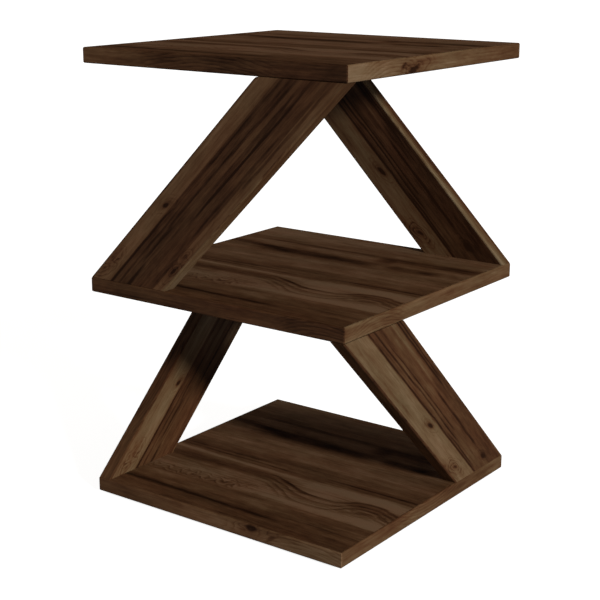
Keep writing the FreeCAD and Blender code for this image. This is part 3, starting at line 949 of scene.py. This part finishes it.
class TABLE_OT_make_shelf_bands(bpy.types.Operator):
    """Makes the edge bands of the three shelves"""

    bl_idname = "table.make_shelf_bands"
    bl_label = "Make shelf bands"

    def execute(self, context):
        sizes = context.scene.table_sizes
        half = table_half()
        inner = half - sizes.band_thickness
        for number, (shelf, side) in enumerate(product(SHELVES, SIDES)):
            low, high = shelf_levels(shelf)
            name = shelf + "_" + side
            shape = self.rounded_slab(half, low, high, sizes)
            seam = [e for e in self.keep_side(shape, side, inner) if len(e.link_faces) == 2]
            round_over(shape, seam, sizes.seam_chamfer, 1, clamp=True)
            look = SHELF_BAND_LOOKS.get(name, BandLook(PLAIN_TONE))
            along = X_AXIS if side in ("front", "back") else Y_AXIS
            grain_at = (Vector((0, 0, low)), along, Z_AXIS)
            sheet = FIRST_BAND_SHEET + number
            material = band_material(name + "_band_decor", grain_at, sheet, look)
            finish_piece(
                name + "_band", shape, material, name + "_edge_band")
        return {"FINISHED"}

    def rounded_slab(self, half, low, high, sizes):
        shape = block(Vector((-half, -half, low)), Vector((half, half, high)))
        level = [e for e in shape.edges
                 if abs(e.verts[0].co.z - e.verts[1].co.z) < SAME_LEVEL]
        round_over(shape, level, sizes.band_rounding, sizes.rounding_steps)
        return shape

    def keep_side(self, shape, side, inner):
        """Cuts the slab down to one band, and returns the inner face's edges.

        The front and back bands cover the others' ends.
        """
        if side in ("front", "back"):
            outward = Y_AXIS if side == "front" else -Y_AXIS
            return cut_away(shape, -outward * inner, outward)
        for outward in (Y_AXIS, -Y_AXIS):
            cut_away(shape, outward * inner, outward)
        outward = X_AXIS if side == "left" else -X_AXIS
        return cut_away(shape, -outward * inner, outward)


def band_material(name, grain_at, sheet, look):
    """Walnut decor on one edge band."""
    return walnut_material(name, "band", grain_at, sheet, look.tone, look.olive, more={
        "Slope": look.slope, "Arch At": look.arch, "Arch Reach": look.reach,
        "Arch Height": look.height, "Knot At": look.knot, "Knot Level": look.knot_level,
        "Twin At": look.twin, "First Edge": look.first_edge})


PANEL_BAND_LOOKS = {
    "upper_front_panel_lower": BandLook(0.19, 1.2, -0.0012, 150, 60),
    # painted shade along its outer edge, the side turned from the key light
    "upper_back_panel_upper": BandLook(0.16, 1.9, 0.0, 150, 60, first_edge=-0.34),
    "lower_left_panel_upper": BandLook(-0.18, 0.0, 0.0, 120, 60),
    "lower_right_panel_lower": BandLook(-0.22, 0.0, 0.0, 120, 60),
}


class TABLE_OT_make_panel_bands(bpy.types.Operator):
    """Makes the edge bands of the four slanted panels"""

    bl_idname = "table.make_panel_bands"
    bl_label = "Make panel bands"

    def execute(self, context):
        sizes = context.scene.table_sizes
        sheet = FIRST_BAND_SHEET + len(SHELVES) * len(SIDES)
        for panel in panel_list():
            own = PanelFrame(panel, sizes)
            shapes = {
                "upper": self.bent_band(own, panel.heel, sizes),
                "lower": self.straight_band(own, sizes),
            }
            for edge, shape in shapes.items():
                name = panel.name + "_" + edge
                look = PANEL_BAND_LOOKS.get(name, BandLook(PLAIN_TONE, arch=120.0))
                bmesh.ops.transform(shape, matrix=own.place, verts=shape.verts)
                foot = Vector() if edge == "upper" else Vector((own.foot, 0, 0))
                grain_at = (own.point(foot), own.direction(own.along), own.direction(Y_AXIS))
                material = band_material(name + "_band_decor", grain_at, sheet, look)
                finish_piece(
                    name + "_band", shape, material, name + "_edge_band")
                sheet += 1
        return {"FINISHED"}

    def strip(self, own, start, length, sizes):
        """A straight band from start along the slant, with its outer edges rounded."""
        shape = block(Vector((0, 0, -sizes.band_thickness)),
                      Vector((length, sizes.panel_thickness, 0)))
        outer = [e for e in edges_at(shape, 0.0)
                 if abs(e.verts[0].co.x - e.verts[1].co.x) > length / 2]
        round_over(shape, outer, sizes.band_rounding, sizes.rounding_steps)
        tilt = Matrix.Rotation(-math.atan2(own.height, own.lean), 4, "Y")
        bmesh.ops.transform(
            shape, matrix=Matrix.Translation(start) @ tilt, verts=shape.verts)
        return shape

    def bent_band(self, own, heel, sizes):
        """The upper band, bent round the blunt corner under the shelf above."""
        turn = math.atan2(own.height, own.lean)
        tangent = heel * math.tan(turn / 2)
        corner = Vector((own.lean, 0, own.height))
        overlap = 2 * sizes.band_thickness
        start = -own.along * overlap
        shape = self.strip(own, start, own.slant - tangent + overlap, sizes)
        hub = corner + Vector((tangent, 0, -heel))
        end = max(shape.faces, key=lambda face: face.calc_center_median().dot(own.along))
        bmesh.ops.spin(
            shape, geom=[end] + end.edges[:] + end.verts[:], cent=hub, axis=Y_AXIS,
            angle=turn, steps=sizes.bend_steps, use_merge=False)
        cut_away(shape, Vector(), -Z_AXIS)
        return shape

    def straight_band(self, own, sizes):
        """The lower band: the straight band turned half round and cut to both shelves."""
        overlap = 2 * sizes.band_thickness
        shape = self.strip(own, -own.along * overlap, own.slant + 2 * overlap, sizes)
        cut_away(shape, Vector(), -Z_AXIS)
        cut_away(shape, Vector((0, 0, own.height)), Z_AXIS)
        middle = Vector((own.run / 2, 0, own.height / 2))
        half_turn = (Matrix.Translation(middle) @ Matrix.Rotation(math.pi, 4, "Y")
                     @ Matrix.Translation(-middle))
        bmesh.ops.transform(shape, matrix=half_turn, verts=shape.verts)
        return shape


# Hidden fittings and glides --------------------------------------------------------------------

BEECH_FLECKS = (1500.0, 1500.0, 90.0)        # to a metre across the upright dowels and along them
FLOW_MARKS = (60.0, 60.0, 60.0)              # of moulded plastic, to a metre
GRIT = (3600.0, 3600.0, 3600.0)


def beech_material():
    """Plain beech: pale, with short dark flecks along the dowel."""
    material, tree, shader = new_material("beech")
    flecks = spots(tree, own_place(tree), BEECH_FLECKS, 3.0)
    colour = toned(tree, flecks, ((0.3, (0.46, 0.27, 0.13)), (0.6, (0.66, 0.45, 0.26))))
    fill_in(tree, shader, {"Base Color": colour, "Roughness": 0.72})
    emboss(tree, shader, flecks, 0.4, 0.05 * MM)
    return material


def metal_material(name, bright, dull, roughness, grain_size):
    """A metal whose tone and gloss vary over spots of grain_size."""
    material, tree, shader = new_material(name)
    grain = spots(tree, own_place(tree), (1 / grain_size,) * 3, 4.0)
    fill_in(tree, shader, {
        "Base Color": toned(tree, grain, ((0.35, dull), (0.65, bright))),
        "Roughness": grain * -0.3 + (roughness + 0.15), "Metallic": 1.0})
    emboss(tree, shader, grain, 0.25, 0.03 * MM)
    return material


def plastic_material(name, colour, pale, roughness):
    """Moulded plastic with a fine spark-eroded texture and faint flow marks."""
    material, tree, shader = new_material(name)
    flow = spots(tree, own_place(tree), FLOW_MARKS, 2.0)
    grit = spots(tree, own_place(tree), GRIT, 2.0)
    fill_in(tree, shader, {
        "Base Color": toned(tree, flow, ((0.3, colour), (0.75, pale))),
        "Roughness": grit * 0.2 + (roughness - 0.1)})
    emboss(tree, shader, grit, 0.35, 0.04 * MM)
    return material


CROWN_SHARES = (0.6, 0.4)            # of a cap's crown, in each ring that raises its face
CROWN_RING = 0.15                    # width of such a ring, as a share of the cap's diameter


class TABLE_OT_make_caps(bpy.types.Operator):
    """Makes the caps that cover the cams in the panels' faces"""

    bl_idname = "table.make_caps"
    bl_label = "Make cover caps"

    def execute(self, context):
        sizes = context.scene.table_sizes
        plastic = plastic_material(
            "cap_plastic", (0.045, 0.026, 0.015), (0.058, 0.034, 0.020), 0.45)
        for panel in panel_list():
            own = PanelFrame(panel, sizes)
            node = panel.name + "_cam_cover_caps"
            corners = [own.place.inverted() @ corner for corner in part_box(node)]
            low = Vector([min(pair) for pair in zip(*corners)])
            high = Vector([max(pair) for pair in zip(*corners)])
            outside = low.y < 0
            face = 0.0 if outside else sizes.panel_thickness
            turn = Matrix.Rotation(math.radians(90 if outside else -90), 4, "X")
            edge = sizes.cap_diameter / 2
            shape = self.cap(sizes)
            twin = bmesh.ops.duplicate(
                shape, geom=shape.verts[:] + shape.edges[:] + shape.faces[:])
            twin_verts = [item for item in twin["geom"] if isinstance(item, bmesh.types.BMVert)]
            first_verts = [vert for vert in shape.verts if vert not in set(twin_verts)]
            for verts, x, z in ((first_verts, low.x + edge, low.z + edge),
                                (twin_verts, high.x - edge, high.z - edge)):
                place = own.place @ Matrix.Translation((x, face, z)) @ turn
                bmesh.ops.transform(shape, matrix=place, verts=verts)
            finish_piece(
                panel.name + "_cover_caps", shape, plastic, node)
        return {"FINISHED"}

    def cap(self, sizes):
        """A crowned disc with a rounded rim, standing on Z, over a cross-shaped plug."""
        half = sizes.plug_width / 2
        rooted = sizes.cap_rounding / 2          # how far the plug reaches up into the disc
        shape = block(Vector((-half, -half, -sizes.plug_depth)), Vector((half, half, rooted)))
        sides = [face for face in shape.faces if abs(face.calc_center_median().z) < half * 2
                 and face.calc_center_median().xy.length > half / 2]
        arms = bmesh.ops.extrude_discrete_faces(shape, faces=sides)["faces"]
        for arm in arms:
            outward = arm.calc_center_median() * Vector((1, 1, 0))
            reach = (sizes.plug_length - sizes.plug_width) / 2
            bmesh.ops.translate(shape, verts=arm.verts, vec=outward.normalized() * reach)
        rim_level = sizes.cap_thickness - sizes.cap_crown
        radius = sizes.cap_diameter / 2
        bmesh.ops.create_cone(
            shape, cap_ends=True, segments=sizes.cap_facets, radius1=radius, radius2=radius,
            depth=rim_level, matrix=Matrix.Translation((0, 0, rim_level / 2)))
        round_over(shape, edges_at(shape, rim_level), sizes.cap_rounding, sizes.rim_steps)
        top = max(shape.faces, key=lambda face: face.calc_center_median().z)
        for share in CROWN_SHARES:
            bmesh.ops.inset_region(
                shape, faces=[top], thickness=sizes.cap_diameter * CROWN_RING,
                depth=sizes.cap_crown * share)
        return shape


class TABLE_OT_finish_fittings(bpy.types.Operator):
    """Gives the dowels, bolts, cams, glides and nails their finish"""

    bl_idname = "table.finish_fittings"
    bl_label = "Finish fittings"

    def execute(self, context):
        finishes = {
            "_dowels": beech_material(),
            "_cam_bolts": metal_material(
                "zinc_plating", (0.62, 0.64, 0.66), (0.50, 0.51, 0.50), 0.3, 1.2 * MM),
            "_cam_discs": metal_material(
                "die_cast_zinc", (0.46, 0.47, 0.48), (0.36, 0.37, 0.38), 0.5, 0.8 * MM),
            "floor_glides": plastic_material(
                "glide_plastic", (0.030, 0.019, 0.012), (0.040, 0.026, 0.017), 0.55),
            "floor_glide_nails": metal_material(
                "bright_steel", (0.56, 0.56, 0.57), (0.46, 0.46, 0.46), 0.32, 1.0 * MM),
        }
        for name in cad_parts:
            for ending, material in finishes.items():
                if name.endswith(ending):
                    paint_node(name, material)
        return {"FINISHED"}


# Stage -----------------------------------------------------------------------------------------

FLOOR_REACH = 40.0                   # from the floor's middle to its edges, in metres
SIGHT = 100.0                        # how far the camera sees, in metres
SENSOR_WIDTH = 36.0                  # in millimetres


class TABLE_OT_set_stage(bpy.types.Operator):
    """Sets the floor, the lights and the camera"""

    bl_idname = "table.set_stage"
    bl_label = "Set stage"

    def execute(self, context):
        studio = context.scene.table_studio
        self.lay_floor(studio)
        self.hang_light("key_light", studio.key_direction, studio.key_strength,
                        studio.key_softness, studio.key_colour)
        self.hang_light("fill_light", studio.fill_direction, studio.fill_strength,
                        studio.fill_softness, studio.surround_colour)
        self.light_surround(context.scene, studio)
        self.place_camera(context.scene, studio)
        context.scene.view_settings.view_transform = "Standard"
        return {"FINISHED"}

    def lay_floor(self, studio):
        shape = bmesh.new()
        bmesh.ops.create_grid(shape, x_segments=1, y_segments=1, size=FLOOR_REACH)
        material, tree, shader = new_material("studio_floor")
        seen, mirrored = self.ray_kinds(tree)
        shade = mirrored * (studio.mirrored_floor - studio.floor_shade) + studio.floor_shade
        fill_in(tree, shader, {
            "Base Color": shade, "Roughness": 0.9, "Specular IOR Level": 0.0,
            "Emission Color": WHITE, "Emission Strength": seen * studio.floor_glow})
        floor = add_mesh("studio_floor", shape, material)

    def ray_kinds(self, tree):
        """1 for what the camera sees itself, and 1 for what glossy surfaces mirror."""
        path = put(tree, "LightPath")
        return (Field(tree, path.outputs["Is Camera Ray"]),
                Field(tree, path.outputs["Is Glossy Ray"]))

    def hang_light(self, name, direction, strength, softness, colour):
        lamp = bpy.data.lights.new(name, "SUN")
        lamp.energy = strength
        lamp.angle = softness
        lamp.color = colour
        light = add_object(name, lamp)
        light.rotation_euler = Vector(direction).to_track_quat("Z", "Y").to_euler()
        light.visible_glossy = False         # it would glare off tops and edges at a flat angle

    def light_surround(self, scene, studio):
        world = bpy.data.worlds.new("studio_surround")
        world.use_nodes = True
        tree = world.node_tree
        seen, mirrored = self.ray_kinds(tree)
        strength = seen * (1.0 - studio.surround) + studio.surround - mirrored * (
            studio.surround - studio.mirrored_surround)
        fill_in(tree, tree.nodes["Background"], {
            "Color": mix_colours(tree, seen, opaque(studio.surround_colour), WHITE),
            "Strength": strength})
        scene.world = world

    def place_camera(self, scene, studio):
        lens = bpy.data.cameras.new("camera")
        lens.lens = studio.lens
        lens.sensor_width = SENSOR_WIDTH
        lens.clip_end = SIGHT
        camera = add_object("camera", lens)
        camera.location = studio.camera_place
        camera.rotation_euler = studio.camera_turn
        scene.camera = camera


class TABLE_PT_pieces(bpy.types.Panel):
    """Shows the table's operators and its settings: sizes, finish and studio"""

    bl_idname = "TABLE_PT_pieces"
    bl_label = "Tiered side table"
    bl_space_type = "VIEW_3D"
    bl_region_type = "UI"
    bl_category = "Table"

    def draw(self, context):
        for operator in OPERATORS:
            self.layout.operator(operator.bl_idname)
        for holder in HOLDERS:
            settings = getattr(context.scene, holder)
            box = self.layout.box()
            for name in settings.__class__.__annotations__:
                box.prop(settings, name)


HOLDERS = {
    "table_sizes": TableSizes, "walnut_finish": WalnutFinish, "table_studio": StudioSetup}
OPERATORS = (
    TABLE_OT_finish_boards, TABLE_OT_make_shelf_bands, TABLE_OT_make_panel_bands,
    TABLE_OT_make_caps, TABLE_OT_finish_fittings, TABLE_OT_set_stage)
CLASSES = (*HOLDERS.values(), *OPERATORS, TABLE_PT_pieces)


def register():
    for item in CLASSES:
        bpy.utils.register_class(item)
    for holder, group in HOLDERS.items():
        setattr(bpy.types.Scene, holder, PointerProperty(type=group))


def unregister():
    for holder in HOLDERS:
        delattr(bpy.types.Scene, holder)
    for item in reversed(CLASSES):
        bpy.utils.unregister_class(item)


def main():
    register()
    bpy.ops.table.finish_boards()
    bpy.ops.table.make_shelf_bands()
    bpy.ops.table.make_panel_bands()
    bpy.ops.table.make_caps()
    bpy.ops.table.finish_fittings()
    bpy.ops.table.set_stage()


if __name__ == "__main__":
    main()
